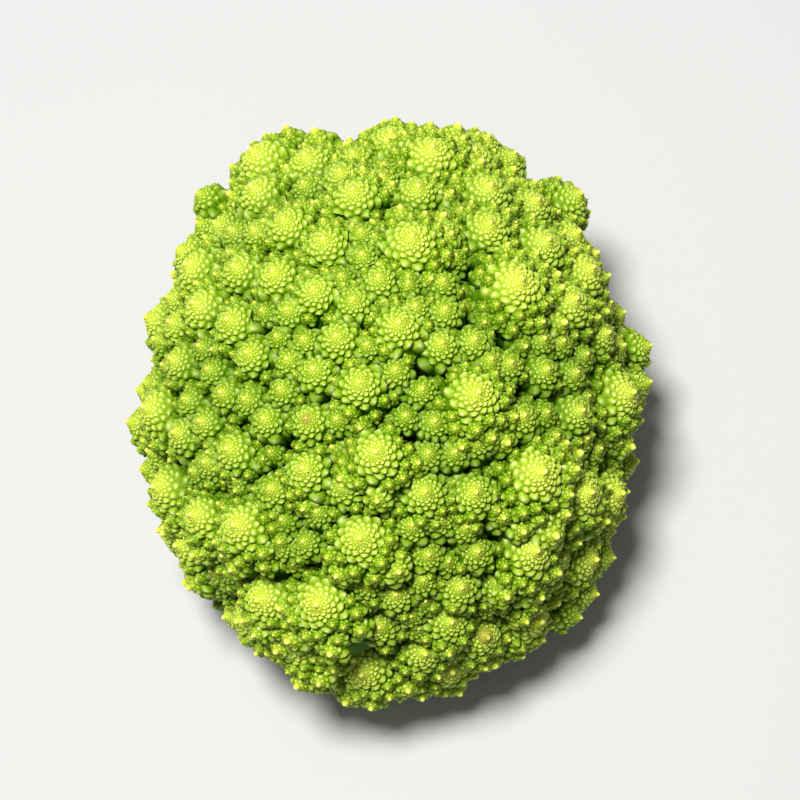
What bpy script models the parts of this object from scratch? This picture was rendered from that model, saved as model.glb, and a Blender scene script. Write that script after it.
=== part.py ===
"""A romanesco head as cut: one curd of spiral florets on the stub of its stalk.

The curd is one grown body. Its surface is a relief of pointed buds: every floret is a cone that carries
buds in a golden-angle spiral, and every bud is a small pyramid between shared valleys. The surface is
laid out as directions from a point inside the head, so it closes on itself without any cutting.
The stalk is the paler body below it: the cut trunk, which flares into the ribs of the branches.
Millimetres in the constants, metres in the scene, +Z up, origin at the centre of the cut face.
"""

import math

import bmesh
import bpy
import numpy as np

MM = 0.001

# The dome that the floret tips touch: its half-width on the narrow and the wide axis, its height, and
# the way that its narrow axis lies
NARROW_RADIUS = 77.0
HEAD_RADIUS = 84.0
HEAD_RISE = 79.0
WAIST_Z = 46.0
MIDDLE = np.array([0.0, 0.0, WAIST_Z])
NARROW_TURN = math.radians(-21)
# The heights on the head's axis that the crown's and the waist's florets grow away from, and how far
# they fan out along the narrow and the wide axis
CROWN_ROOT_Z = -49.0
WAIST_ROOT_Z = -4.0
NARROW_FAN = 1.4
WIDE_FAN = 0.5
# The point that sees the whole surface
HEART = np.array([0.0, 0.0, 31.0])

# The floret plan is drawn as seen from this eye, in a picture turned about its own axis
EYE_DISTANCE = 700.0
EYE_TILT = math.radians(20)
EYE_ROLL = math.radians(20)

GOLDEN_ANGLE = math.radians(137.508)

# Floret size: what is usual at the crown and at the waist, and how far a small one sits back from the dome
CROWN_FLORET = 6.0
WAIST_FLORET = 14.0
SET_BACK = 0.8
MOST_BACK = 8.0
MOST_PROUD = 4.0
LOWEST_TIP_Z = 31.0

# Florets that fill what the plan leaves free, largest first, and how near to each other they may come
FILL_SIZES = (13.5, 11.0, 8.5, 6.5, 5.0, 4.0)
FILL_MOST = 1.1
FILL_PLACES = 2400
FILL_OVERLAP = 0.76

# A floret: a cone that steepens to its rim, as shares of its radius
CONE_STEEP = 0.9
CONE_CURL = 0.5
FLORET_LENGTH = 3.0

# The buds on it, which grow outwards along its spiral and lean towards its tip
BUDS_PER_MM = 1.75
FEWEST_BUDS = 11
BUD_SPREAD = 0.66
BUD_GROWTH = 0.45
SMALLEST_SHARE = 0.15
FIRST_BUD = 0.1
BUD_HEIGHT = 0.46
BUD_LEAN = 0.4
VALLEY_DEPTH = 0.17
BURIED_BY = 0.8
CLOSEST_BUDS = 2.75

# The core under the florets, as a share of the dome, and how the surface is found along a ray
CORE_SHARE = 0.80
RAY_START = 20.0
RAY_END = 1.2 * HEAD_RADIUS
RAY_STEP = 1.0
RAY_HALVINGS = 5

# The flat seat under the curd, and the stalk that fills it
SEAT_Z = 20.3
SEAT_RADIUS = 55.0
SEAT_POINTS = 40
SEAT_MARGIN = 3.0
LOWEST_BUD_Z = SEAT_Z + 2.0
SEAT_GAP = 0.3
TRUNK_RADIUS = 21.0
TRUNK_TOP_Z = 7.0
CUT_BEVEL = 1.2
FLARE_RADIUS = SEAT_RADIUS - SEAT_MARGIN
FLARE_TOP_Z = SEAT_Z - SEAT_GAP - 2.0
FLARE = ((0.25, 0.06), (0.5, 0.2), (0.75, 0.5), (0.93, 0.8), (1.0, 1.0))
RIBS = 13
RIB_DEPTH = 0.075
RIB_SHARPNESS = 0.7
STALK_SIDES = 78

CURD_COLOUR = (0.42, 0.66, 0.08, 1.0)
STALK_COLOUR = (0.66, 0.76, 0.42, 1.0)
CURD_ROUGHNESS = 0.45
STALK_ROUGHNESS = 0.55

# Each floret in view: how far its tip lies to the right of the dome's centre and above it, and its radius
PLAN = (
    # crown, where the florets are smallest
    (-23, 12, 7.0), (-26, 21, 5.0), (-16, 22, 8.0), (-31, 15, 5.5), (-33, 6, 5.5), (-31, 30, 6.0),
    (-23, 36, 9.0), (-11, 33, 7.0), (-43, 17, 7.5), (-9, 8, 9.5), (-25, -3, 7.5), (-38, -3, 6.5),
    (-51, 5, 6.0), (-16, -3, 4.5), (3, 26, 10.0), (-49, 27, 9.5), (-55, 12, 5.5), (-62, 3, 6.0),
    # above the crown
    (-47, 43, 9.0), (-32, 57, 10.0), (-20, 51, 9.5), (-11, 66, 11.0), (-42, 78, 16.5), (-64, 48, 10.5),
    (7, 52, 13.5), (13, 79, 15.0), (-11, 77, 8.0), (17, 54, 6.5), (-66, 15, 8.5), (-71, 21, 7.0),
    (-48, 54, 6.5), (-58, 56, 5.5), (-58, 65, 5.5), (-19, 78, 6.5), (-26, 68, 6.0), (-28, 61, 5.5),
    (6, 58, 4.5), (8, 31, 5.5), (17, 30, 6.0),
    # right of the crown
    (40, 39, 19.0), (27, 5, 14.0), (45, 63, 10.5), (58, 65, 9.0), (30, 82, 8.0), (38, 77, 7.0),
    (63, 47, 9.0), (67, 32, 8.0), (71, 29, 8.0), (74, 5, 15.0), (41, -2, 7.0), (47, -19, 18.0),
    (75, -16, 7.0), (71, -24, 8.0), (68, -37, 7.0), (26, 21, 6.5), (31, 15, 5.5), (37, 14, 6.0),
    (48, 12, 6.5), (57, 11, 6.0), (48, -1, 5.0), (51, -8, 5.0), (64, -12, 5.5), (79, 19, 6.5),
    (79, 8, 6.5), (75, -4, 5.5), (10, 6, 5.0),
    # below the crown
    (-49, -12, 9.0), (-65, -7, 8.5), (-79, -4, 9.0), (-26, -18, 9.5), (-4, -13, 12.5), (11, -25, 9.0),
    (7, -35, 6.0), (12, -44, 6.0), (-47, -35, 13.5), (-60, -32, 12.0), (-9, -39, 13.0), (-75, -18, 6.0),
    (20, -13, 5.0), (5, -2, 4.5), (-56, -16, 6.5), (-36, -13, 3.5), (-26, -40, 5.5), (-22, -31, 5.0),
    (-16, -46, 5.0), (-67, -28, 5.0),
    # the near rim
    (-22, -59, 15.0), (-45, -65, 7.0), (-50, -63, 9.0), (22, -54, 8.5), (11, -74, 10.0), (45, -54, 10.0),
    (2, -56, 7.0), (30, -69, 11.0), (63, -56, 8.5), (68, -45, 8.5), (-3, -66, 7.0), (47, -70, 7.0),
    (38, -73, 7.0), (27, -43, 7.0), (53, -45, 8.0), (18, -46, 4.5), (-54, -49, 6.0), (-45, -55, 5.0),
    (-48, -46, 4.5), (-34, -67, 5.0), (-12, -69, 5.0), (22, -75, 5.0), (23, -82, 5.0), (58, -63, 5.0),
    (-60, -53, 5.0), (-8, -58, 4.5), (11, -58, 4.5),
)


def unit(vector):
    return vector / np.linalg.norm(vector)


def across(axis):
    """Two directions square to an axis and to each other."""
    helper = np.array([0.0, 0.0, 1.0]) if abs(axis[2]) < 0.9 else np.array([1.0, 0.0, 0.0])
    first = unit(np.cross(helper, axis))
    return first, np.cross(axis, first)


def head_axes():
    """The narrow axis, the wide axis and the upright, as rows."""
    c, s = math.cos(NARROW_TURN), math.sin(NARROW_TURN)
    return np.array([[c, s, 0.0], [-s, c, 0.0], [0.0, 0.0, 1.0]])


HEAD_AXES = head_axes()
HALF_WIDTHS = np.array([NARROW_RADIUS, HEAD_RADIUS, HEAD_RISE])


def eye_frame():
    """The eye, and the picture's right and up, in the head's own frame."""
    toward = np.array([0.0, -math.sin(EYE_TILT), math.cos(EYE_TILT)])
    level = np.array([1.0, 0.0, 0.0])
    rise = np.cross(toward, level)
    right = math.cos(EYE_ROLL) * level - math.sin(EYE_ROLL) * rise
    up = math.sin(EYE_ROLL) * level + math.cos(EYE_ROLL) * rise
    return MIDDLE + EYE_DISTANCE * toward, right, up


def on_dome(eye, through, back):
    """Where the line from the eye first meets the dome, set back a little, or where it passes closest."""
    scale = HEAD_AXES / (HALF_WIDTHS - back)[:, None]
    start, way = scale @ (eye - MIDDLE), scale @ (through - eye)
    a, b, c = way @ way, start @ way, start @ start - 1.0
    along = (-b - math.sqrt(max(b * b - a * c, 0.0))) / a
    return eye + along * (through - eye)


def usual_radius(tip):
    """The floret radius that is usual this far from the crown."""
    lean = math.atan2(math.hypot(tip[0], tip[1]), tip[2] - WAIST_Z)
    return CROWN_FLORET + (WAIST_FLORET - CROWN_FLORET) * min(lean / (math.pi / 2), 1.0)


def growth(tip):
    """The direction that a floret with this tip points in."""
    rise = (tip[2] - WAIST_Z) / HEAD_RISE
    root_z = WAIST_ROOT_Z + (CROWN_ROOT_Z - WAIST_ROOT_Z) * rise
    narrow, wide, height = HEAD_AXES @ (tip - np.array([0.0, 0.0, root_z]))
    return unit(HEAD_AXES.T @ np.array([NARROW_FAN * narrow, WIDE_FAN * wide, height]))


def set_back(tip, radius):
    """How far a floret's tip sits behind the dome: small ones hide among large ones."""
    return float(np.clip(SET_BACK * (usual_radius(tip) - radius), -MOST_PROUD, MOST_BACK))


def planned_florets():
    """(tip, radius) of each floret in the plan."""
    eye, right, up = eye_frame()
    florets = []
    for x, y, radius in PLAN:
        through = MIDDLE + x * right + y * up
        proud = on_dome(eye, through, 0.0)
        tip = on_dome(eye, through, set_back(proud, radius))
        nearer = np.linalg.norm(tip - eye) / EYE_DISTANCE
        florets.append((tip, radius * nearer))
    return florets


def dome_places(count):
    """Even places on the dome in a golden-angle spiral, crown first."""
    for k in range(count):
        height = 1.0 - (k + 0.5) / count * (1.0 + (WAIST_Z - LOWEST_TIP_Z) / HEAD_RISE)
        out = math.sqrt(1.0 - height * height)
        turn = k * GOLDEN_ANGLE
        yield MIDDLE + HEAD_AXES.T @ (HALF_WIDTHS * [out * math.cos(turn), out * math.sin(turn), height])


def all_florets():
    """The planned florets, and those that fill the free places, largest first."""
    florets = planned_florets()
    places = list(dome_places(FILL_PLACES))
    for size in FILL_SIZES:
        for place in places:
            radius = min(size, FILL_MOST * usual_radius(place))
            tip = place - set_back(place, radius) * growth(place)
            if all(np.linalg.norm(tip - t) > FILL_OVERLAP * (radius + r) for t, r in florets):
                florets.append((tip, radius))
    return florets


def cone_depth(share, radius):
    """How far below its tip a floret's surface lies, at this share of its radius."""
    return radius * (CONE_STEEP * share + CONE_CURL * share**4)


def bud_places(tip, radius, turn):
    """(base, top, size) of each bud of a floret, in its golden-angle spiral."""
    axis = growth(tip)
    side, other = across(axis)
    count = max(FEWEST_BUDS, round(BUDS_PER_MM * radius))
    for k in range(count):
        share = ((k + FIRST_BUD) / count) ** BUD_SPREAD
        size = radius * BUD_SPREAD * math.sqrt(math.pi / count) * max(share, SMALLEST_SHARE) ** BUD_GROWTH
        angle = turn + k * GOLDEN_ANGLE
        out = math.cos(angle) * side + math.sin(angle) * other
        base = tip + share * radius * out - cone_depth(share, radius) * axis
        slope = CONE_STEEP + 4 * CONE_CURL * share**3
        normal = unit(slope * out + axis) if k else axis
        yield base, base + BUD_HEIGHT * size * unit(normal + BUD_LEAN * axis), size


def cover(points, florets, skip=-1):
    """How deep each point lies in the florets, in millimetres, and negative outside them all."""
    deepest = np.full(len(points), -HEAD_RADIUS)
    for j, (tip, radius) in enumerate(florets):
        if j == skip:
            continue
        axis = growth(tip)
        inward = tip - points
        depth = inward @ axis
        share = np.linalg.norm(inward - depth[:, None] * axis, axis=1) / radius
        near = (share < 1.0) & (depth < FLORET_LENGTH * radius)
        deepest = np.maximum(deepest, np.where(near, depth - cone_depth(share, radius), -HEAD_RADIUS))
    return deepest


def core_cover(points):
    """The same for the core that carries the florets."""
    shares = (points - MIDDLE) @ HEAD_AXES.T / (CORE_SHARE * HALF_WIDTHS)
    return HEAD_RADIUS * (1.0 - np.linalg.norm(shares, axis=1))


def surface_points(ways, florets):
    """Where rays that leave the heart along these ways come out of the florets and the core."""
    inner = np.full(len(ways), RAY_START)
    for reach in np.arange(RAY_START, RAY_END, RAY_STEP):
        spots = HEART + reach * ways
        inner[np.maximum(cover(spots, florets), core_cover(spots)) > 0] = reach
    outer = inner + RAY_STEP
    for _ in range(RAY_HALVINGS):
        middle = (inner + outer) / 2
        spots = HEART + middle[:, None] * ways
        inside = np.maximum(cover(spots, florets), core_cover(spots)) > 0
        inner, outer = np.where(inside, middle, inner), np.where(inside, outer, middle)
    to_seat = (SEAT_Z - HEART[2]) / np.minimum(ways[:, 2], -0.01)
    return HEART + np.minimum(inner, to_seat)[:, None] * ways


def all_buds(florets):
    """(base, top, size) of each bud that stays in the open, with close ones thinned out."""
    found = []
    for i, (tip, radius) in enumerate(florets):
        buds = list(bud_places(tip, radius, i * GOLDEN_ANGLE))
        sunk = cover(np.array([base for base, _, _ in buds]), florets, skip=i)
        found += [bud for bud, deep in zip(buds, sunk) if deep < BURIED_BY and bud[1][2] > LOWEST_BUD_Z]
    found.sort(key=lambda bud: -np.linalg.norm(bud[1] - HEART))
    kept, ways = [], np.zeros((0, 3))
    for base, top, size in found:
        way = unit(top - HEART)
        room = CLOSEST_BUDS / np.linalg.norm(top - HEART)
        if over_seat(top) or (len(ways) and (ways @ way).max() > math.cos(room)):
            continue
        kept.append((base, top, size))
        ways = np.vstack([ways, way])
    return kept


def over_seat(point):
    """Whether a point lies in front of the flat seat, as seen from the heart."""
    way = point - HEART
    if way[2] >= 0:
        return False
    reach = (SEAT_Z - HEART[2]) / way[2]
    return reach * math.hypot(way[0], way[1]) < SEAT_RADIUS + SEAT_MARGIN


def seat_points():
    """The rim and the middle of the flat seat."""
    turns = [2 * math.pi * k / SEAT_POINTS for k in range(SEAT_POINTS)]
    rim = [np.array([SEAT_RADIUS * math.cos(turn), SEAT_RADIUS * math.sin(turn), SEAT_Z]) for turn in turns]
    return [*rim, np.array([0.0, 0.0, SEAT_Z])]


def hull_triangles(points):
    """The triangles that join points lying round the heart, as rows of their numbers."""
    work = bmesh.new()
    for point in points:
        work.verts.new(unit(point - HEART))
    work.verts.index_update()
    bmesh.ops.convex_hull(work, input=list(work.verts))
    bmesh.ops.triangulate(work, faces=list(work.faces))
    rows = [[v.index for v in face.verts] for face in work.faces]
    work.free()
    return rows


def relief(florets, flats):
    """Vertices and faces of the closed relief: a pyramid on each bud, a valley between each three."""
    buds = all_buds(florets)
    points = [top for _, top, _ in buds] + flats
    sizes = [size for _, _, size in buds] + [0.0] * len(flats)
    rows = hull_triangles(points)
    raised = [row for row in rows if min(row) < len(buds)]
    ways = np.array([unit(sum(unit(points[i] - HEART) for i in row)) for row in raised])
    sinks = np.array([VALLEY_DEPTH * sum(sizes[i] for i in row) / 3 for row in raised])
    vertices = points + list(surface_points(ways, florets) - sinks[:, None] * ways)
    faces = [row for row in rows if min(row) >= len(buds)]
    sides = {}
    for valley, row in enumerate(raised, start=len(points)):
        for a, b in zip(row, row[1:] + row[:1]):
            sides.setdefault((min(a, b), max(a, b)), []).append((a, b, valley))
    for meeting in sides.values():
        faces += faces_between(meeting, vertices)
    return vertices, faces


def faces_between(meeting, vertices):
    """The faces across a side, joined along the valleys where the shape allows, or else along the side."""
    a, b, first = meeting[0]
    if len(meeting) == 1:
        return [[a, b, first]]
    second = meeting[1][2]
    ways = [unit(vertices[i] - HEART) for i in (a, second, b, first)]
    if np.cross(ways[0], ways[1]) @ ways[3] > 0 and np.cross(ways[1], ways[2]) @ ways[3] > 0:
        return [[a, second, first], [second, b, first]]
    return [[a, b, first], [b, a, second]]


def new_object(name, vertices, faces, colour, roughness):
    mesh = bpy.data.meshes.new(name)
    mesh.from_pydata([tuple(float(x) * MM for x in v) for v in vertices], [], faces)
    work = bmesh.new()
    work.from_mesh(mesh)
    bmesh.ops.recalc_face_normals(work, faces=list(work.faces))
    work.to_mesh(mesh)
    work.free()
    mesh.materials.append(material(name, colour, roughness))
    made = bpy.data.objects.new(name, mesh)
    bpy.context.scene.collection.objects.link(made)
    return made


def material(name, colour, roughness):
    made = bpy.data.materials.new(name)
    made.use_nodes = True
    shader = made.node_tree.nodes["Principled BSDF"]
    shader.inputs["Base Color"].default_value = colour
    shader.inputs["Roughness"].default_value = roughness
    shader.inputs["Metallic"].default_value = 0.0
    return made


def make_curd():
    vertices, faces = relief(all_florets(), seat_points())
    return new_object("curd", vertices, faces, CURD_COLOUR, CURD_ROUGHNESS)


def stalk_profile():
    """(radius, height, share of the rib depth) up the outside of the stalk, from the cut to the seat."""
    width, height = FLARE_RADIUS - TRUNK_RADIUS, FLARE_TOP_Z - TRUNK_TOP_Z
    trunk = [
        (TRUNK_RADIUS - CUT_BEVEL, 0.0, 0.0),
        (TRUNK_RADIUS, CUT_BEVEL, 0.2),
        (TRUNK_RADIUS, TRUNK_TOP_Z, 0.6),
    ]
    flare = [(TRUNK_RADIUS + width * out, TRUNK_TOP_Z + height * up, 1.0) for up, out in FLARE]
    return [*trunk, *flare, (FLARE_RADIUS - CUT_BEVEL, SEAT_Z - SEAT_GAP, 0.8)]


def make_stalk():
    """The trunk with the ribs of the branches, which flare to the seat."""
    rows = stalk_profile()
    vertices, faces = [], []
    for radius, height, ribbed in rows:
        for k in range(STALK_SIDES):
            turn = 2 * math.pi * k / STALK_SIDES
            furrow = 1 - abs(math.cos(RIBS * turn / 2)) ** RIB_SHARPNESS
            reach = radius * (1 - RIB_DEPTH * ribbed * furrow)
            vertices.append((reach * math.cos(turn), reach * math.sin(turn), height))
    for row in range(len(rows) - 1):
        for k in range(STALK_SIDES):
            low, high, after = row * STALK_SIDES, (row + 1) * STALK_SIDES, (k + 1) % STALK_SIDES
            faces.append([low + k, low + after, high + after, high + k])
    last = (len(rows) - 1) * STALK_SIDES
    faces.append(list(range(STALK_SIDES))[::-1])
    faces.append([last + k for k in range(STALK_SIDES)])
    return new_object("stalk", vertices, faces, STALK_COLOUR, STALK_ROUGHNESS)


def main():
    for old in list(bpy.data.objects):
        bpy.data.objects.remove(old)
    make_curd()
    make_stalk()


main()
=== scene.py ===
"""The look of the romanesco head: every floret's beads, the stalk's skin and cut, materials, light and camera.

The florets stand where the frame's solids have them, by the same plan and the same growth rule. Each floret is
a cone with beads in a golden-angle spiral, and its largest beads are small cones with beads of their own.
Millimetres in the constants, metres in the scene.
"""

import math
from collections import namedtuple

import bpy
import numpy as np
from mathutils import Matrix, Vector, geometry


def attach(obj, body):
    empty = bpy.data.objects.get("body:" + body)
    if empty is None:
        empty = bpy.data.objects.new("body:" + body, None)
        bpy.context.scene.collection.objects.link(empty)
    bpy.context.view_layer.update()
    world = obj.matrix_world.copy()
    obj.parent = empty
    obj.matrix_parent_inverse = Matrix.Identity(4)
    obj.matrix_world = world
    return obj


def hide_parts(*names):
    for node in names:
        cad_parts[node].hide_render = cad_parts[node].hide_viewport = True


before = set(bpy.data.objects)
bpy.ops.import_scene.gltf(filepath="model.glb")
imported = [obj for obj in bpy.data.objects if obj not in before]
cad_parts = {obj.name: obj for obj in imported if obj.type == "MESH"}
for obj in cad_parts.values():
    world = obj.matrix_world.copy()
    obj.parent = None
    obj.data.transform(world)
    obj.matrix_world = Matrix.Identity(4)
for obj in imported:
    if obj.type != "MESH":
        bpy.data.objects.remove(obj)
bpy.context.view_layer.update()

MM = 0.001
GOLDEN_ANGLE = math.radians(137.508)
SEED = 7
# The florets are one piece for each of these sectors round the upright
SECTORS = 6

# The dome that the floret tips touch: its narrow and wide half-width, its height, and where its narrow side faces
NARROW_RADIUS = 77.0
HEAD_RADIUS = 84.0
HEAD_RISE = 79.0
NARROW_TURN = math.radians(-21)
WAIST_Z = 46.0
MIDDLE = np.array([0.0, 0.0, WAIST_Z])
# The heights that the crown's and the waist's florets grow away from, and how far they fan out on each axis
CROWN_ROOT_Z = -49.0
WAIST_ROOT_Z = -4.0
NARROW_FAN = 1.4
WIDE_FAN = 0.5

# The eye that the floret plan is drawn from, and where the dome's centre stands in the picture
EYE_DISTANCE = 700.0
EYE_TILT = math.radians(20)
EYE_ROLL = math.radians(20)
PICTURE_WIDTH = 240.0
PICTURE_PIXELS = 800
MIDDLE_PIXEL = (389, 408)

# Floret size: what is usual at the crown and at the waist, and how far a small one sits back from the dome
CROWN_FLORET = 6.0
WAIST_FLORET = 14.0
SET_BACK = 0.8
MOST_BACK = 8.0
MOST_PROUD = 4.0
LOWEST_TIP_Z = 31.0

# Florets that fill what the plan leaves free, largest first
FILL_SIZES = (13.5, 11.0, 8.5, 6.5, 5.0, 4.0)
FILL_MOST = 1.1
FILL_PLACES = 2400
FILL_OVERLAP = 0.76

# A floret: a cone that steepens to its rim, as shares of its radius
CONE_STEEP = 0.9
CONE_CURL = 0.5
FLORET_LENGTH = 3.0
CORE_SHARE = 0.80
# A length that counts as none, and how upright a direction may be before another helper axis is taken
TINY = 1e-6
UPRIGHT = 0.9

# Bead sizes, half a bead's width: the finest on florets and on their cones, their share of the distance from the
# axis, and what the rim adds to that share
FINEST = 0.40
FINEST_ON_CONES = 0.36
BEAD_RATIO = 0.20
RATIO_ON_CONES = 0.32
BEAD_FLARE = 0.13
# How closely beads stand, how much closer on the steep rim, and how far out the last ones stand
CROWDING = 3.1
SLOPE_CROWDING = 0.3
REACH = 1.04
SPIRAL_STEPS = 400
UNROLL_STEPS = 100
# How unevenly beads stand, grow and, on small cones, lean
PLACE_NOISE = 0.14
SIZE_NOISE = 0.10
WAY_NOISE = 0.06
# How far above the cone a bead is tested, and how deep in a neighbour it may lie there, as shares of its size
TOP_SHARE = 0.5
BURIED = 0.62
# The smooth tip of a floret, in millimetres and as a share of its radius, and of a small cone
TIP_SIZE = 0.65
TIP_GROWTH = 0.04
CONE_TIP_SIZE = 0.27
ROUND_TIP = 1.0
# A bead's form as shares of its size: its rise and the sinking of its creases and their corners, and what a
# slope adds to each
BEAD_RISE = 0.62
RISE_ON_SLOPES = 0.2
TIP_RISE = 0.6
CREASE_SINK = 0.25
VALLEY_SINK = 0.42
SINK_ON_SLOPES = 0.12
# A bead's shoulder: its place between top and crease, its share of the rise, and how far it follows the slope
SHOULDER_OUT = 0.74
SHOULDER_RISE = 0.62
SHOULDER_SLOPE = 0.75
# How far beads lean from the cone's normal to its axis
BEAD_LEAN = 0.5
# The small cones: the bead size they start from, the share of the floret's radius that stays clear of them, how
# they lean to its axis, their width and height, how deep they are set, and the fewest beads that make one
CONES_FROM = 1.65
TIP_CLEAR = 0.3
CONE_LEAN = 1.6
CONE_REACH = 1.28
CONE_RISE = 1.75
CONE_SINK = 0.7
FEWEST_BEADS = 6
# How florets and small cones differ: the sides of the plain ring that closes the rim, how bold the beads are,
# how yellow the tip and how shaded the flank, and the bead sizes from which a bead is made more finely
Look = namedtuple("Look", "ring_sides boldness glow shade fine_from")
FLORET_LOOK = Look(24, 1.0, 1.0, 0.62, (0.0, 0.5))
CONE_LOOK = Look(9, 0.75, 1.05, 0.45, (0.5, 0.9))
# The ring's reach and bead size, and how far below the rim the underside closes
RING_REACH = 1.14
RING_SIZE = 0.15
UNDERSIDE = 0.75
# What colours a relief: the tint of creases and shoulders, where a bead's top has 1 and its corners 0, which
# paints shade into the creases and a highlight on the tops; how fast the tip's glow fades, the share of the
# radius that browns, and how deep in the dome painted shade begins and ends
CREASE_TINT = 0.3
SHOULDER_TINT = 0.7
GLOW_FADE = 1.5
BROWN_REACH = 0.22
DEEP_FROM = 3.0
DEEP_TO = 13.0

# The flesh between the florets: its mesh, the height it ends at and the point below that closes it
FLESH_SIDES = 72
FLESH_ROWS = 22
FLESH_LOW_Z = 21.0
FLESH_BOTTOM_Z = 20.3

# The stalk's side, as the frame's solid has it: the trunk, the flare's (height, width) shares, and the ribs
TRUNK_RADIUS = 21.0
TRUNK_TOP_Z = 7.0
CUT_BEVEL = 1.2
FLARE_RADIUS = 52.0
FLARE_TOP_Z = 18.0
STALK_TOP_Z = 20.0
FLARE = ((0.25, 0.06), (0.5, 0.2), (0.75, 0.5), (0.93, 0.8), (1.0, 1.0))
RIBS = 13
RIB_DEPTH = 0.075
RIB_SHARPNESS = 0.7
STALK_SIDES = 234
STALK_STEP = 0.8
# The leaf scars: how many, the share of the side where they begin and that they spread over, their half-width
# and half-height, how proud their edges stand, and the edge's place and width as shares
SCARS = 8
SCARS_FROM = 0.12
SCARS_OVER = 0.4
SCAR_WIDTH = 7.0
SCAR_HEIGHT = 2.4
SCAR_EDGE = 0.6
SCAR_EDGE_AT = 0.9
SCAR_EDGE_WIDTH = 0.25
# The cut face: how deep its pith has dried in, the fibrous ring's share of the radius, its width and how much it
# holds the pith up, and the knife marks and roughness
PITH_SINK = 1.1
FIBRE_SHARE = 0.8
FIBRE_WIDTH = 0.07
FIBRE_HOLD = 0.6
FIBRES = 3 * RIBS
FIBRE_SHARPNESS = 0.4
KNIFE_MARK = 0.06
KNIFE_WAVES = ((1.7, 0.5), (0.0, 0.8))
CUT_ROUGHNESS = 0.03

# The camera's sensor in millimetres and the nearest that it sees in metres, and the floor's half-width in metres
SENSOR_WIDTH = 36.0
NEAREST_SEEN = 0.05
FLOOR_REACH = 3.0
# The key light: how far up and left of the camera, its distance, its diameter in metres and its power, and how
# bright the surround is
KEY_UP = 0.34
KEY_LEFT = 0.22
KEY_DISTANCE = 1200.0
KEY_SIZE = 0.32
KEY_POWER = 24.5
SURROUND = 0.2

# Each floret in view: how far its tip lies to the right of the dome's centre and above it, and its radius
PLAN = (
    # crown, where the florets are smallest
    (-23, 12, 7.0), (-26, 21, 5.0), (-16, 22, 8.0), (-31, 15, 5.5), (-33, 6, 5.5), (-31, 30, 6.0),
    (-23, 36, 9.0), (-11, 33, 7.0), (-43, 17, 7.5), (-9, 8, 9.5), (-25, -3, 7.5), (-38, -3, 6.5),
    (-51, 5, 6.0), (-16, -3, 4.5), (3, 26, 10.0), (-49, 27, 9.5), (-55, 12, 5.5), (-62, 3, 6.0),
    # above the crown
    (-47, 43, 9.0), (-32, 57, 10.0), (-20, 51, 9.5), (-11, 66, 11.0), (-42, 78, 16.5), (-64, 48, 10.5),
    (7, 52, 13.5), (13, 79, 15.0), (-11, 77, 8.0), (17, 54, 6.5), (-66, 15, 8.5), (-71, 21, 7.0),
    (-48, 54, 6.5), (-58, 56, 5.5), (-58, 65, 5.5), (-19, 78, 6.5), (-26, 68, 6.0), (-28, 61, 5.5),
    (6, 58, 4.5), (8, 31, 5.5), (17, 30, 6.0),
    # right of the crown
    (40, 39, 19.0), (27, 5, 14.0), (45, 63, 10.5), (58, 65, 9.0), (30, 82, 8.0), (38, 77, 7.0),
    (63, 47, 9.0), (67, 32, 8.0), (71, 29, 8.0), (74, 5, 15.0), (41, -2, 7.0), (47, -19, 18.0),
    (75, -16, 7.0), (71, -24, 8.0), (68, -37, 7.0), (26, 21, 6.5), (31, 15, 5.5), (37, 14, 6.0),
    (48, 12, 6.5), (57, 11, 6.0), (48, -1, 5.0), (51, -8, 5.0), (64, -12, 5.5), (79, 19, 6.5),
    (79, 8, 6.5), (75, -4, 5.5), (10, 6, 5.0),
    # below the crown
    (-49, -12, 9.0), (-65, -7, 8.5), (-79, -4, 9.0), (-26, -18, 9.5), (-4, -13, 12.5), (11, -25, 9.0),
    (7, -35, 6.0), (12, -44, 6.0), (-47, -35, 13.5), (-60, -32, 12.0), (-9, -39, 13.0), (-75, -18, 6.0),
    (20, -13, 5.0), (5, -2, 4.5), (-56, -16, 6.5), (-36, -13, 3.5), (-26, -40, 5.5), (-22, -31, 5.0),
    (-16, -46, 5.0), (-67, -28, 5.0),
    # the near rim
    (-22, -59, 15.0), (-45, -65, 7.0), (-50, -63, 9.0), (22, -54, 8.5), (11, -74, 10.0), (45, -54, 10.0),
    (2, -56, 7.0), (30, -69, 11.0), (63, -56, 8.5), (68, -45, 8.5), (-3, -66, 7.0), (47, -70, 7.0),
    (38, -73, 7.0), (27, -43, 7.0), (53, -45, 8.0), (18, -46, 4.5), (-54, -49, 6.0), (-45, -55, 5.0),
    (-48, -46, 4.5), (-34, -67, 5.0), (-12, -69, 5.0), (22, -75, 5.0), (23, -82, 5.0), (58, -63, 5.0),
    (-60, -53, 5.0), (-8, -58, 4.5), (11, -58, 4.5),
)
# The two florets whose tips have browned
BROWNED = ((-25, -3), (30, -69))


def unit(vectors):
    return vectors / np.linalg.norm(vectors, axis=-1, keepdims=True)


def across(axes):
    """Two directions square to each axis and to each other."""
    axes = np.atleast_2d(axes)
    helper = np.where(np.abs(axes[:, 2:3]) < UPRIGHT, np.array([0.0, 0.0, 1.0]), np.array([1.0, 0.0, 0.0]))
    first = unit(np.cross(helper, axes))
    return first, np.cross(axes, first)


def head_axes():
    """The narrow and the wide axis and the upright, as rows."""
    c, s = math.cos(NARROW_TURN), math.sin(NARROW_TURN)
    return np.array([[c, s, 0.0], [-s, c, 0.0], [0.0, 0.0, 1.0]])


HEAD_AXES = head_axes()
HALF_WIDTHS = np.array([NARROW_RADIUS, HEAD_RADIUS, HEAD_RISE])


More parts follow.
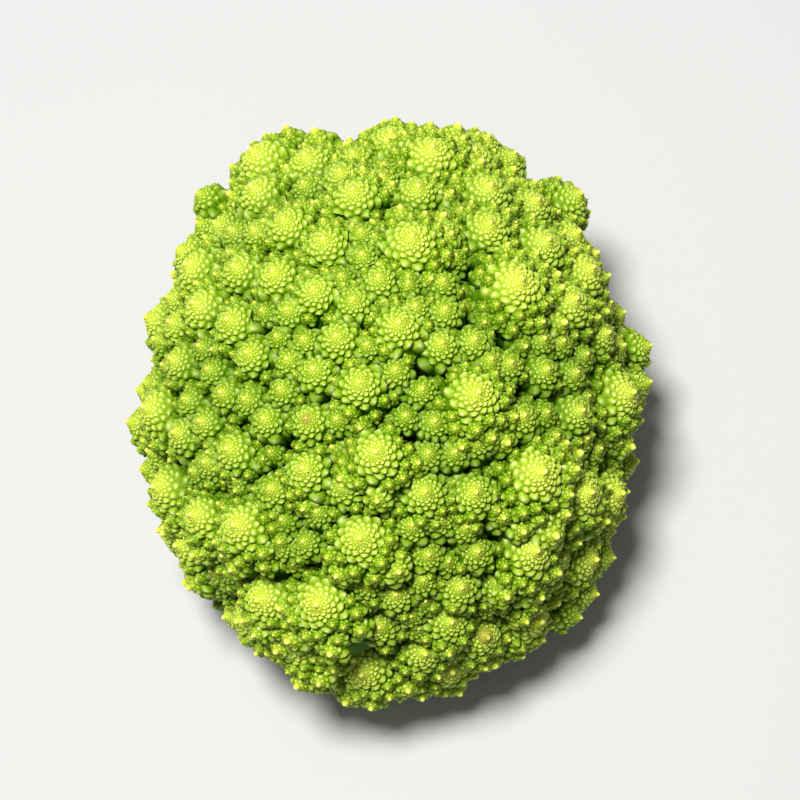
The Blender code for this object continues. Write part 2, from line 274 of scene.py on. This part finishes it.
def eye_frame():
    """The eye, and the picture's right, up and towards-the-eye, in the head's own frame."""
    toward = np.array([0.0, -math.sin(EYE_TILT), math.cos(EYE_TILT)])
    level = np.array([1.0, 0.0, 0.0])
    rise = np.cross(toward, level)
    right = math.cos(EYE_ROLL) * level - math.sin(EYE_ROLL) * rise
    up = math.sin(EYE_ROLL) * level + math.cos(EYE_ROLL) * rise
    return MIDDLE + EYE_DISTANCE * toward, right, up, toward


# Where the florets stand


def on_dome(eye, through, back):
    """Where the line from the eye first meets the dome, set back a little, or where it passes closest."""
    scale = HEAD_AXES / (HALF_WIDTHS - back)[:, None]
    start, way = scale @ (eye - MIDDLE), scale @ (through - eye)
    a, b, c = way @ way, start @ way, start @ start - 1.0
    along = (-b - math.sqrt(max(b * b - a * c, 0.0))) / a
    return eye + along * (through - eye)


def usual_radius(tip):
    """The floret radius that is usual this far from the crown."""
    lean = math.atan2(math.hypot(tip[0], tip[1]), tip[2] - WAIST_Z)
    return CROWN_FLORET + (WAIST_FLORET - CROWN_FLORET) * min(lean / (math.pi / 2), 1.0)


def growth(tip):
    """The direction that a floret with this tip points in."""
    rise = (tip[2] - WAIST_Z) / HEAD_RISE
    root_z = WAIST_ROOT_Z + (CROWN_ROOT_Z - WAIST_ROOT_Z) * rise
    narrow, wide, height = HEAD_AXES @ (tip - np.array([0.0, 0.0, root_z]))
    return unit(HEAD_AXES.T @ np.array([NARROW_FAN * narrow, WIDE_FAN * wide, height]))


def set_back(tip, radius):
    """How far a floret's tip sits behind the dome: small ones hide among large ones."""
    return float(np.clip(SET_BACK * (usual_radius(tip) - radius), -MOST_PROUD, MOST_BACK))


def planned_florets():
    """(tip, radius, browned) of each floret in the plan."""
    eye, right, up, _ = eye_frame()
    florets = []
    for x, y, radius in PLAN:
        through = MIDDLE + x * right + y * up
        proud = on_dome(eye, through, 0.0)
        tip = on_dome(eye, through, set_back(proud, radius))
        nearer = np.linalg.norm(tip - eye) / EYE_DISTANCE
        florets.append((tip, radius * nearer, (x, y) in BROWNED))
    return florets


def dome_places(count):
    """Even places on the dome in a golden-angle spiral, crown first."""
    for k in range(count):
        height = 1.0 - (k + 0.5) / count * (1.0 + (WAIST_Z - LOWEST_TIP_Z) / HEAD_RISE)
        out = math.sqrt(1.0 - height * height)
        turn = k * GOLDEN_ANGLE
        yield MIDDLE + HEAD_AXES.T @ (HALF_WIDTHS * [out * math.cos(turn), out * math.sin(turn), height])


def all_florets():
    """The planned florets, and those that fill the free places, largest first."""
    florets = planned_florets()
    places = list(dome_places(FILL_PLACES))
    for size in FILL_SIZES:
        for place in places:
            radius = min(size, FILL_MOST * usual_radius(place))
            tip = place - set_back(place, radius) * growth(place)
            tips = np.array([t for t, _, _ in florets])
            radii = np.array([r for _, r, _ in florets])
            if (np.linalg.norm(tips - tip, axis=1) > FILL_OVERLAP * (radius + radii)).all():
                florets.append((tip, radius, False))
    return florets


def cone_slope(share):
    """How steep a floret is at this share of its radius."""
    return CONE_STEEP + 4 * CONE_CURL * share**3


def cone_depth(share, radius):
    """How far below its tip a floret's surface lies, at this share of its radius."""
    return radius * (CONE_STEEP * share + CONE_CURL * share**4)


def depth_in_cone(points, tip, axis, radius, length=math.inf):
    """How deep each point lies in a cone of this length, in millimetres, and far negative outside it."""
    inward = tip - points
    depth = inward @ axis
    share = np.linalg.norm(inward - depth[:, None] * axis, axis=1) / radius
    inside = (share < 1.0) & (depth < length)
    return np.where(inside, depth - cone_depth(np.minimum(share, 1.0), radius), -HEAD_RADIUS)


def cover(points, florets, skip):
    """How deep each point lies in the florets, leaving one out."""
    deepest = np.full(len(points), -HEAD_RADIUS)
    for j, (tip, radius, _) in enumerate(florets):
        length = FLORET_LENGTH * radius
        near = np.abs(points - tip).max(axis=1) < length
        if j == skip or not near.any():
            continue
        found = depth_in_cone(points[near], tip, growth(tip), radius, length)
        deepest[near] = np.maximum(deepest[near], found)
    return deepest


def core_cover(points):
    """The same for the core that carries the florets."""
    shares = (points - MIDDLE) @ HEAD_AXES.T / (CORE_SHARE * HALF_WIDTHS)
    return HEAD_RADIUS * (1.0 - np.linalg.norm(shares, axis=1))


# Beads


def summed(rate, along):
    """The running sum of a rate along a line."""
    return np.concatenate([[0.0], np.cumsum((rate[1:] + rate[:-1]) / 2 * np.diff(along))])


def spiral(radius, finest, ratio, start):
    """How far out each bead of a golden spiral sits, and its size, so that the beads just crowd each other."""
    out = np.linspace(start, REACH * radius, SPIRAL_STEPS)
    share = out / radius
    size = np.maximum(finest, out * (ratio + BEAD_FLARE * share**3))
    steepened = (1 + cone_slope(share) ** 2) ** (SLOPE_CROWDING * share**2)
    number = summed(2 * math.pi * out * steepened / (CROWDING * size**2), out)
    places = np.interp(np.arange(int(number[-1])) + 0.5, number, out)
    return places, np.interp(places, out, size)


class Pile:
    """Closed shells that become one mesh, with a tint, a glow, a spot and a deep value on each vertex."""

    def __init__(self):
        self.vertices, self.faces, self.values, self.count = [], [], [], 0

    def add(self, vertices, faces, values):
        self.vertices.append(vertices)
        self.faces.append(faces + self.count)
        self.values.append(values)
        self.count += len(vertices)

    def to_object(self, name, finish):
        vertices, faces = np.concatenate(self.vertices) * MM, np.concatenate(self.faces)
        values = np.concatenate(self.values)
        mesh = bpy.data.meshes.new(name)
        mesh.vertices.add(len(vertices))
        mesh.vertices.foreach_set("co", vertices.ravel())
        mesh.loops.add(faces.size)
        mesh.loops.foreach_set("vertex_index", faces.ravel())
        mesh.polygons.add(len(faces))
        mesh.polygons.foreach_set("loop_start", np.arange(len(faces)) * 3)
        mesh.update(calc_edges=True)
        mesh.shade_smooth()
        for k, label in enumerate(("tint", "glow", "spot", "deep")):
            mesh.attributes.new(label, "FLOAT", "POINT").data.foreach_set("value", values[:, k].copy())
        mesh.materials.append(finish)
        return placed(name, mesh)


class Cone:
    """The plain form of a floret, or of a small cone on one, which its beads are laid out on."""

    def __init__(self, tip, axis, radius):
        self.tip, self.axis, self.radius = tip, axis, radius
        self.side, self.other = (v[0] for v in across(axis))

    def slope(self, flat):
        """How steep the cone is over flat places round the axis."""
        out = np.linalg.norm(flat, axis=1)
        return cone_slope(out / self.radius) * np.minimum(out / ROUND_TIP, 1.0)

    def normals(self, flat):
        """The outward directions over flat places round the axis."""
        out = np.linalg.norm(flat, axis=1)
        outward = (flat / np.maximum(out, TINY)[:, None]) @ np.stack([self.side, self.other])
        return unit(self.slope(flat)[:, None] * outward + self.axis)

    def ways(self, flat):
        """The directions that beads grow in, between the cone's normal and its axis."""
        return unit(self.normals(flat) + BEAD_LEAN * self.axis)

    def unrolled(self, flat):
        """Flat places spread so that a small patch of the cone keeps its shape."""
        out = np.linspace(TINY, RING_REACH * self.radius, UNROLL_STEPS)
        slope = self.slope(np.stack([out, 0 * out], axis=1))
        spread = summed((np.sqrt(1 + slope**2) - 1) / out, out)
        return flat * np.exp(np.interp(np.linalg.norm(flat, axis=1), out, spread))[:, None]

    def depth(self, flat):
        return cone_depth(np.linalg.norm(flat, axis=1) / self.radius, self.radius)

    def surface(self, flat):
        """The points of the cone over flat places round the axis."""
        return self.tip + flat @ np.stack([self.side, self.other]) - self.depth(flat)[:, None] * self.axis

    def underside(self):
        """The point that closes the cone below."""
        return self.tip - (cone_depth(1.0, self.radius) + UNDERSIDE * self.radius) * self.axis

    def covers(self, points):
        """How deep each point lies in this cone."""
        return depth_in_cone(points, self.tip, self.axis, self.radius)


def triangles_between(flat):
    """Delaunay triangles of flat points, counter-clockwise."""
    found = geometry.delaunay_2d_cdt([Vector(spot) for spot in flat], [], [], 0, TINY)
    rows = np.array([[found[3][i][0] for i in face] for face in found[2]])
    first, second = flat[rows[:, 1]] - flat[rows[:, 0]], flat[rows[:, 2]] - flat[rows[:, 0]]
    turned = first[:, 0] * second[:, 1] - first[:, 1] * second[:, 0] < 0
    rows[turned] = rows[turned][:, ::-1]
    return rows


def sides_between(rows, count):
    """The triangles' shared sides and their rim, for corner points numbered on from the beads.

    A shared side has its two beads and the corner points to its left and right, and a side of the rim has its
    two beads and the corner point on its left.
    """
    start, end = rows.ravel(), rows[:, [1, 2, 0]].ravel()
    corner = count + np.repeat(np.arange(len(rows)), 3)
    key = np.minimum(start, end) * count + np.maximum(start, end)
    order = np.argsort(key, kind="stable")
    twin = np.flatnonzero(np.diff(key[order]) == 0)
    one, two = order[twin], order[twin + 1]
    rim = np.ones(len(order), bool)
    rim[one] = rim[two] = False
    return (start[one], end[one], corner[one], corner[two]), (start[rim], end[rim], corner[rim])


def rows_of(*columns):
    return np.stack(columns, axis=1)


def shoulders(cone, flats, lifts, parts):
    """The points between a bead's top and its outline, flat and in space, and the faces that go over them.

    Each part is a bead's top and two neighbouring points of its outline.
    """
    total = len(flats)
    spokes, place = np.unique(parts[:, [0, 0]] * total + parts[:, 1:], return_inverse=True)
    bead, edge = spokes // total, spokes % total
    flat = flats[bead] + SHOULDER_OUT * (flats[edge] - flats[bead])
    levelled = (1 - SHOULDER_SLOPE) * (cone.depth(flat) - cone.depth(flats[bead]))
    lift = (SHOULDER_RISE * lifts[bead])[:, None] * cone.ways(flats[bead])
    top, first, second = parts.T
    one, two = (total + place.reshape(-1, 2)).T
    faces = np.vstack([rows_of(top, one, two), rows_of(one, first, second), rows_of(one, second, two)])
    return flat, cone.surface(flat) + levelled[:, None] * cone.axis + lift, faces


def relief(cone, flat, size, rise, look):
    """A closed relief: a bead round each flat place, with creases between them, over a plain underside.

    Grade 1 is a bead of plain facets between its creases' corners, grade 2 has a point on each crease too,
    and grade 3 has a shoulder. A bead that doesn't rise, and the ring that closes the rim, are of grade 1.
    """
    beads = len(flat)
    turn = 2 * math.pi * np.arange(look.ring_sides) / look.ring_sides
    flat = np.vstack([flat, RING_REACH * cone.radius * rows_of(np.cos(turn), np.sin(turn))])
    size = np.concatenate([size, np.full(look.ring_sides, RING_SIZE * cone.radius)])
    rise = np.concatenate([rise, np.zeros(look.ring_sides)])
    grade = np.where(rise > 0, 1 + (size > look.fine_from[0]) + (size > look.fine_from[1]), 1)
    rows = triangles_between(cone.unrolled(flat))
    (a, b, left, right), (rim_start, rim_end, rim_corner) = sides_between(rows, len(flat))

    def between(p, q):
        return (flat[p] * size[q][:, None] + flat[q] * size[p][:, None]) / (size[p] + size[q])[:, None]

    # The corners where three beads meet, and the middles of the creases that are split
    corner = sum(between(rows[:, i], rows[:, (i + 1) % 3]) for i in range(3)) / 3
    split = np.maximum(grade[a], grade[b]) > 1
    middle = between(a[split], b[split])
    flats = np.vstack([flat, corner, middle])
    lifts = look.boldness * np.concatenate([
        rise * (BEAD_RISE + RISE_ON_SLOPES * cone.slope(flat)) * size,
        -(VALLEY_SINK + SINK_ON_SLOPES * cone.slope(corner)) * size[rows].mean(axis=1),
        -(CREASE_SINK + SINK_ON_SLOPES * cone.slope(middle)) * (size[a[split]] + size[b[split]]) / 2,
    ])

    # Each bead's share of a side: the bead, and two neighbouring points of its outline
    crease = np.full(len(a), -1)
    crease[split] = len(flat) + len(corner) + np.arange(len(middle))
    parts = np.concatenate([
        rows_of(a, right, left)[~split], rows_of(b, left, right)[~split],
        rows_of(a, right, crease)[split], rows_of(a, crease, left)[split],
        rows_of(b, left, crease)[split], rows_of(b, crease, right)[split],
    ])
    crowned = grade[parts[:, 0]] > 2
    shoulder, shoulder_points, shoulder_faces = shoulders(cone, flats, lifts, parts[crowned])
    outlines = cone.surface(flats) + lifts[:, None] * cone.ways(flats)
    points = np.vstack([outlines, shoulder_points, cone.underside()])
    low = np.full(len(rim_start), len(points) - 1)
    faces = np.vstack([
        parts[~crowned], shoulder_faces,
        rows_of(rim_start, rim_end, rim_corner), rows_of(low, rim_end, rim_start),
    ])
    # The tint carries painted light: a painted highlight on each bead's top, painted shade down its creases and
    # corners
    tints = np.zeros(len(points))
    tints[:beads] = 1.0
    tints[len(flat) + len(corner):len(flats)] = CREASE_TINT
    tints[len(flats):-1] = SHOULDER_TINT
    share = np.linalg.norm(np.vstack([flats, shoulder, flat[-1:]]), axis=1) / cone.radius
    used, numbers = np.unique(faces, return_inverse=True)
    return points[used], numbers.reshape(-1, 3), tints[used], share[used]


def bead_places(cone, finest, ratio, tip_size, rng):
    """The flat places of a cone's beads and their sizes, the smooth tip first."""
    out, size = spiral(cone.radius, finest, ratio, tip_size)
    hand = 1 if rng.random() < 0.5 else -1
    angle = rng.uniform(0, 2 * math.pi) + hand * GOLDEN_ANGLE * np.arange(len(out))
    flat = out[:, None] * rows_of(np.cos(angle), np.sin(angle))
    flat = flat + rng.normal(0.0, PLACE_NOISE, flat.shape) * size[:, None]
    size = size * np.exp(rng.normal(0.0, SIZE_NOISE, len(size)))
    reach = REACH * cone.radius / np.maximum(np.linalg.norm(flat, axis=1), TINY)
    flat = flat * np.minimum(reach, 1.0)[:, None]
    return np.vstack([[0.0, 0.0], flat]), np.concatenate([[tip_size], size])


def add_relief(pile, cone, flat, size, rise, look, browned):
    """A cone's relief with the values that colour it."""
    rise[0] = TIP_RISE
    vertices, faces, tints, share = relief(cone, flat, size, rise, look)
    glow = np.minimum(look.glow * np.clip(1 - share, 0.0, 1.0) ** GLOW_FADE, 1.0)
    spot = np.where(share < BROWN_REACH, float(browned), 0.0)
    depth = HEAD_RADIUS * (1 - np.linalg.norm((vertices - MIDDLE) @ HEAD_AXES.T / HALF_WIDTHS, axis=1))
    deep = np.clip((depth - DEEP_FROM) / (DEEP_TO - DEEP_FROM), 0.0, 1.0)
    deep = 1 - (1 - deep) * (1 - look.shade * np.minimum(share, 1.0) ** 2)
    pile.add(vertices, faces, rows_of(tints, glow, spot, deep))


def add_floret(pile, index, florets, rng):
    """A floret: its beads, and the small cones that its largest beads have become."""
    tip, radius, browned = florets[index]
    cone = Cone(tip, growth(tip), radius)
    flat, size = bead_places(cone, FINEST, BEAD_RATIO, TIP_SIZE + TIP_GROWTH * radius, rng)
    top = cone.surface(flat) + TOP_SHARE * size[:, None] * cone.normals(flat)
    kept = (cover(top, florets, index) < BURIED * size) & (core_cover(top) < BURIED * size)
    kept[0] = True
    flat, size = flat[kept], size[kept]
    coned = (size > CONES_FROM) & (np.linalg.norm(flat, axis=1) > TIP_CLEAR * radius)
    for k in np.flatnonzero(coned):
        coned[k] = add_cone(pile, cone, flat[k], size[k], index, florets, rng)
    add_relief(pile, cone, flat, size, np.where(coned, 0.0, 1.0), FLORET_LOOK, browned)


def add_cone(pile, parent, spot, size, index, florets, rng):
    """Adds a bead that has grown into a small cone with beads of its own, if enough of it is in the open."""
    base, normal = parent.surface(spot[None, :])[0], parent.normals(spot[None, :])[0]
    way = unit(normal + CONE_LEAN * parent.axis + rng.normal(0.0, WAY_NOISE, 3))
    reach = CONE_REACH * size
    cone = Cone(base + (CONE_RISE * reach - CONE_SINK * size) * way, way, reach)
    flat, sizes = bead_places(cone, FINEST_ON_CONES, RATIO_ON_CONES, CONE_TIP_SIZE * reach, rng)
    spots = cone.surface(flat)
    kept = (parent.covers(spots) < BURIED * sizes) & (cover(spots, florets, index) < BURIED * sizes)
    kept[0] = True
    enough = kept.sum() >= FEWEST_BEADS
    if enough:
        add_relief(pile, cone, flat[kept], sizes[kept], np.ones(kept.sum()), CONE_LOOK, False)
    return enough


def make_florets(finish):
    """All florets, in pieces by sector so that each piece stays light."""
    florets = all_florets()
    rng = np.random.default_rng(SEED)
    piles = [Pile() for _ in range(SECTORS)]
    for index, (tip, _, _) in enumerate(florets):
        sector = int((math.atan2(tip[1], tip[0]) / (2 * math.pi) + 0.5) * SECTORS) % SECTORS
        add_floret(piles[sector], index, florets, rng)
    return [pile.to_object(f"florets_{k + 1}", finish) for k, pile in enumerate(piles)]


# The flesh and the stalk


def full_turn(sides):
    """The angles of a ring's vertices."""
    return 2 * math.pi * np.arange(sides) / sides


def lathe_faces(rings, sides):
    """The triangles of a closed skin over rings of vertices listed upward, then its lowest and highest point."""
    number = np.arange(rings * sides).reshape(rings, sides)
    after = np.roll(number, -1, axis=1)
    low, low_after = number[:-1].ravel(), after[:-1].ravel()
    high, high_after = number[1:].ravel(), after[1:].ravel()
    bottom, top = np.full(sides, rings * sides), np.full(sides, rings * sides + 1)
    return np.concatenate([
        rows_of(low, low_after, high_after), rows_of(low, high_after, high),
        rows_of(bottom, after[0], number[0]), rows_of(top, number[-1], after[-1]),
    ])


def make_flesh(finish):
    """The flesh between the florets, seen in the crevices and from below."""
    half_widths = CORE_SHARE * HALF_WIDTHS
    lowest = math.asin((FLESH_LOW_Z - WAIST_Z) / half_widths[2])
    rise = math.pi / 2 + (lowest - math.pi / 2) * np.arange(FLESH_ROWS, 0, -1)[:, None] / FLESH_ROWS
    turn = full_turn(FLESH_SIDES)
    ways = np.stack([np.cos(rise) * np.cos(turn), np.cos(rise) * np.sin(turn), np.sin(rise) + 0 * turn], axis=2)
    vertices = np.vstack([
        MIDDLE + (half_widths * ways.reshape(-1, 3)) @ HEAD_AXES,
        [[0.0, 0.0, FLESH_BOTTOM_Z], MIDDLE + [0, 0, half_widths[2]]],
    ])
    pile = Pile()
    pile.add(vertices, lathe_faces(FLESH_ROWS, FLESH_SIDES), np.zeros((len(vertices), 4)))
    return pile.to_object("flesh", finish)


def stalk_rows():
    """Rows of radius, height and rib share up the stalk's side in even steps, and how far up each row is."""
    width, height = FLARE_RADIUS - TRUNK_RADIUS, FLARE_TOP_Z - TRUNK_TOP_Z
    rows = np.array([
        (TRUNK_RADIUS - CUT_BEVEL, 0.0, 0.0),
        (TRUNK_RADIUS, CUT_BEVEL, 0.2),
        (TRUNK_RADIUS, TRUNK_TOP_Z, 0.6),
        *((TRUNK_RADIUS + width * out, TRUNK_TOP_Z + height * up, 1.0) for up, out in FLARE),
        (FLARE_RADIUS - CUT_BEVEL, STALK_TOP_Z, 0.8),
    ])
    along = np.concatenate([[0.0], np.cumsum(np.linalg.norm(np.diff(rows[:, :2], axis=0), axis=1))])
    steps = np.linspace(0.0, along[-1], int(along[-1] / STALK_STEP))
    return [np.interp(steps, along, column)[:, None] for column in rows.T], steps[:, None]


def ring_points(radius, height, turn):
    """Points at these radii, heights and turns."""
    return np.stack([radius * np.cos(turn), radius * np.sin(turn), height + 0 * radius], axis=2)


def stalk_skin(turn):
    """The stalk's side with its ribs and leaf scars: points by row and turn, and their colour values."""
    (radius, height, ribbed), along = stalk_rows()
    furrow = 1 - np.abs(np.cos(RIBS * turn / 2)) ** RIB_SHARPNESS
    reach = radius * (1 - RIB_DEPTH * ribbed * furrow)
    scarred = np.zeros_like(reach)
    for k in range(SCARS):
        away = ((turn - k * GOLDEN_ANGLE + math.pi) % (2 * math.pi) - math.pi) * radius / SCAR_WIDTH
        middle = along[-1] * (SCARS_FROM + SCARS_OVER * k / SCARS)
        # A scar bows upward in its middle
        span = np.hypot(away, (along - middle) / SCAR_HEIGHT - (1 - away**2))
        reach += SCAR_EDGE * np.exp(-(((span - SCAR_EDGE_AT) / SCAR_EDGE_WIDTH) ** 2))
        scarred = np.maximum(scarred, np.exp(-((span / SCAR_EDGE_AT) ** 4)))
    values = np.stack([np.ones_like(reach), along / along[-1] + 0 * reach, scarred, 0 * reach], axis=2)
    return ring_points(reach, height, turn), values


def cut_face(turn, rng):
    """The cut face inside its edge: knife marks, the fibrous ring and the sunk pith, from the middle outward."""
    edge = TRUNK_RADIUS - CUT_BEVEL
    radius = np.arange(int(edge), 0, -1.0)[:, None]
    share = radius / edge
    ring = np.exp(-(((share - FIBRE_SHARE) / FIBRE_WIDTH) ** 2))
    x, y = radius * np.cos(turn), radius * np.sin(turn)
    marks = sum(KNIFE_MARK * np.sin(across_x * x + across_y * y) for across_x, across_y in KNIFE_WAVES)
    marks = marks + rng.normal(0.0, CUT_ROUGHNESS, x.shape)
    sunk = PITH_SINK * (1 - share**2) * (1 - FIBRE_HOLD * ring)
    height = np.maximum(sunk + marks * (1 - share**4), 0.0)
    fibres = ring * np.abs(np.cos(FIBRES * turn / 2)) ** FIBRE_SHARPNESS
    values = np.stack([0 * x, share + 0 * x, 0 * x, fibres], axis=2)
    return np.stack([x, y, height], axis=2)[::-1], values[::-1]


def make_stub(finish):
    """The stalk: the trunk with its leaf scars and the ribs of the branches, and the cut face."""
    turn = full_turn(STALK_SIDES)
    face, face_values = cut_face(turn, np.random.default_rng(SEED))
    skin, skin_values = stalk_skin(turn)
    vertices, values = np.concatenate([face, skin]), np.concatenate([face_values, skin_values])
    ends = [[0, 0, PITH_SINK], [0, 0, STALK_TOP_Z]]
    pile = Pile()
    pile.add(
        np.vstack([vertices.reshape(-1, 3), ends]),
        lathe_faces(len(vertices), STALK_SIDES),
        np.vstack([values.reshape(-1, 4), np.zeros((2, 4))]),
    )
    return pile.to_object("stub", finish)


# Materials


def new_material(name, roughness=0.5, specular=0.5):
    """A material, its node tree and its shader, with values that are the same all over."""
    made = bpy.data.materials.new(name)
    made.use_nodes = True
    shader = made.node_tree.nodes["Principled BSDF"]
    shader.inputs["Roughness"].default_value = roughness
    shader.inputs["Specular IOR Level"].default_value = specular
    return made, made.node_tree, shader


def feed(tree, socket, value):
    """Gives a socket another one's output, or a value."""
    if isinstance(value, bpy.types.NodeSocket):
        tree.links.new(value, socket)
    else:
        socket.default_value = value


def mix_colour(tree, amount, first, second):
    node = tree.nodes.new("ShaderNodeMix")
    node.data_type = "RGBA"
    for place, value in ((0, amount), (6, first), (7, second)):
        feed(tree, node.inputs[place], value)
    return node.outputs[2]


def maths(tree, operation, *values):
    node = tree.nodes.new("ShaderNodeMath")
    node.operation = operation
    for socket, value in zip(node.inputs, values):
        feed(tree, socket, value)
    return node.outputs[0]


def attribute(tree, name):
    node = tree.nodes.new("ShaderNodeAttribute")
    node.attribute_name = name
    return node.outputs["Fac"]


def noise_value(tree, scale, detail=2.0):
    coordinates = tree.nodes.new("ShaderNodeTexCoord")
    node = tree.nodes.new("ShaderNodeTexNoise")
    node.inputs["Scale"].default_value = scale
    node.inputs["Detail"].default_value = detail
    tree.links.new(coordinates.outputs["Object"], node.inputs["Vector"])
    return node.outputs["Fac"]


def curd_material():
    """Waxy yellow-green with yellow at each floret's tip, and painted light: painted shade deepens it to dark
    green where beads meet, and, with some deeper green of its own, deep in the head and down each flank; bead
    tops pale partly with their own paler tips and partly with a painted highlight.
    """
    made, tree, shader = new_material("romanesco_curd", specular=0.08)
    tint, glow, spot, deep = (attribute(tree, name) for name in ("tint", "glow", "spot", "deep"))
    body = mix_colour(tree, noise_value(tree, 45.0), (0.27, 0.44, 0.004, 1), (0.41, 0.59, 0.006, 1))
    # Painted shade: each bead darkens to deep green down into its creases and corners
    lit = mix_colour(tree, maths(tree, "POWER", tint, 1.2), (0.05, 0.16, 0.001, 1), body)
    on_tops = maths(tree, "MULTIPLY_ADD", tint, 0.65, 0.35)
    ripe = maths(tree, "MULTIPLY", maths(tree, "POWER", glow, 2.2), on_tops)
    yellow = mix_colour(tree, ripe, lit, (0.88, 0.93, 0.10, 1))
    # The bead tops pale to cream: partly their own paler tips, partly a painted highlight
    top = maths(tree, "MULTIPLY", maths(tree, "POWER", tint, 10.0), 0.95)
    pale = mix_colour(tree, top, yellow, (0.97, 1.0, 0.50, 1))
    shaded = mix_colour(tree, maths(tree, "MULTIPLY", deep, 0.85), pale, (0.03, 0.11, 0.001, 1))
    brown = mix_colour(tree, maths(tree, "MULTIPLY", spot, 0.5), shaded, (0.26, 0.13, 0.03, 1))
    tree.links.new(brown, shader.inputs["Base Color"])
    tree.links.new(maths(tree, "MULTIPLY_ADD", noise_value(tree, 700.0), 0.2, 0.33), shader.inputs["Roughness"])
    shader.inputs["Subsurface Weight"].default_value = 0.15
    shader.inputs["Subsurface Radius"].default_value = (1.0, 0.8, 0.15)
    shader.inputs["Subsurface Scale"].default_value = 0.0012
    return made


def flesh_material():
    """Near-black green with soft patches: painted shade, so that the flesh seen between the florets reads as deep
    shadow.
    """
    made, tree, shader = new_material("romanesco_flesh", roughness=0.7, specular=0.1)
    colour = mix_colour(tree, noise_value(tree, 120.0, 4.0), (0.010, 0.030, 0.001, 1), (0.03, 0.07, 0.003, 1))
    tree.links.new(colour, shader.inputs["Base Color"])
    return made


def stalk_material():
    """Pale green skin, greener upward and duller on the leaf scars, and a cream cut with green fibres."""
    made, tree, shader = new_material("romanesco_stalk", specular=0.25)
    skin, upward, scarred, fibres = (attribute(tree, name) for name in ("tint", "glow", "spot", "deep"))
    patches = noise_value(tree, 90.0, 4.0)
    pale = mix_colour(tree, patches, (0.44, 0.56, 0.20, 1), (0.60, 0.68, 0.34, 1))
    side = mix_colour(tree, maths(tree, "MULTIPLY", upward, 0.8), pale, (0.17, 0.34, 0.04, 1))
    marked = mix_colour(tree, maths(tree, "MULTIPLY", scarred, 0.6), side, (0.38, 0.40, 0.16, 1))
    pith = mix_colour(tree, patches, (0.72, 0.74, 0.46, 1), (0.80, 0.80, 0.58, 1))
    cut = mix_colour(tree, maths(tree, "MULTIPLY", fibres, 0.7), pith, (0.46, 0.55, 0.22, 1))
    tree.links.new(mix_colour(tree, skin, cut, marked), shader.inputs["Base Color"])
    return made


def floor_material():
    made, _, shader = new_material("floor", roughness=0.8)
    shader.inputs["Base Color"].default_value = (0.50, 0.50, 0.49, 1)
    return made


# The floor, the light and the camera


def placed(name, data):
    """An object in the scene."""
    made = bpy.data.objects.new(name, data)
    bpy.context.scene.collection.objects.link(made)
    return made


def make_floor():
    mesh = bpy.data.meshes.new("floor")
    low, high = -FLOOR_REACH, FLOOR_REACH
    mesh.from_pydata([(low, low, 0), (high, low, 0), (high, high, 0), (low, high, 0)], [], [(0, 1, 2, 3)])
    mesh.materials.append(floor_material())
    placed("floor", mesh)


def facing(place, right, up, back):
    """A matrix at a place in millimetres whose -Z looks along -back."""
    matrix = np.eye(4)
    matrix[:3] = np.stack([right, up, back, place * MM], axis=1)
    return Matrix(matrix.tolist())


def make_camera():
    """The photo's camera, rolled as the photo is and shifted so that the head stands where it does there."""
    eye, right, up, toward = eye_frame()
    data = bpy.data.cameras.new("camera")
    data.sensor_width = SENSOR_WIDTH
    data.lens = SENSOR_WIDTH * EYE_DISTANCE / PICTURE_WIDTH
    data.shift_x = 0.5 - MIDDLE_PIXEL[0] / PICTURE_PIXELS
    data.shift_y = MIDDLE_PIXEL[1] / PICTURE_PIXELS - 0.5
    data.clip_start = NEAREST_SEEN
    camera = placed("camera", data)
    camera.matrix_world = facing(eye, right, up, toward)
    bpy.context.scene.camera = camera


def make_lights():
    """One large soft key from the camera's upper left, and an even pale surround."""
    bpy.context.scene.view_settings.view_transform = "Standard"
    _, right, up, toward = eye_frame()
    back = unit(toward + KEY_UP * up - KEY_LEFT * right)
    side, other = (v[0] for v in across(back))
    data = bpy.data.lights.new("key", "AREA")
    data.shape = "DISK"
    data.size = KEY_SIZE
    data.energy = KEY_POWER
    placed("key", data).matrix_world = facing(MIDDLE + KEY_DISTANCE * back, side, other, back)
    world = bpy.data.worlds.new("surround")
    bpy.context.scene.world = world
    world.use_nodes = True
    background = world.node_tree.nodes["Background"]
    background.inputs["Color"].default_value = (1.0, 1.0, 1.0, 1)
    background.inputs["Strength"].default_value = SURROUND


def main():
    make_camera()
    make_floor()
    make_lights()
    for piece in [*make_florets(curd_material()), make_flesh(flesh_material())]:
        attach(piece, "root")
        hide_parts("curd")
    stub = make_stub(stalk_material())
    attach(stub, "root")
    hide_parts("stalk")


main()
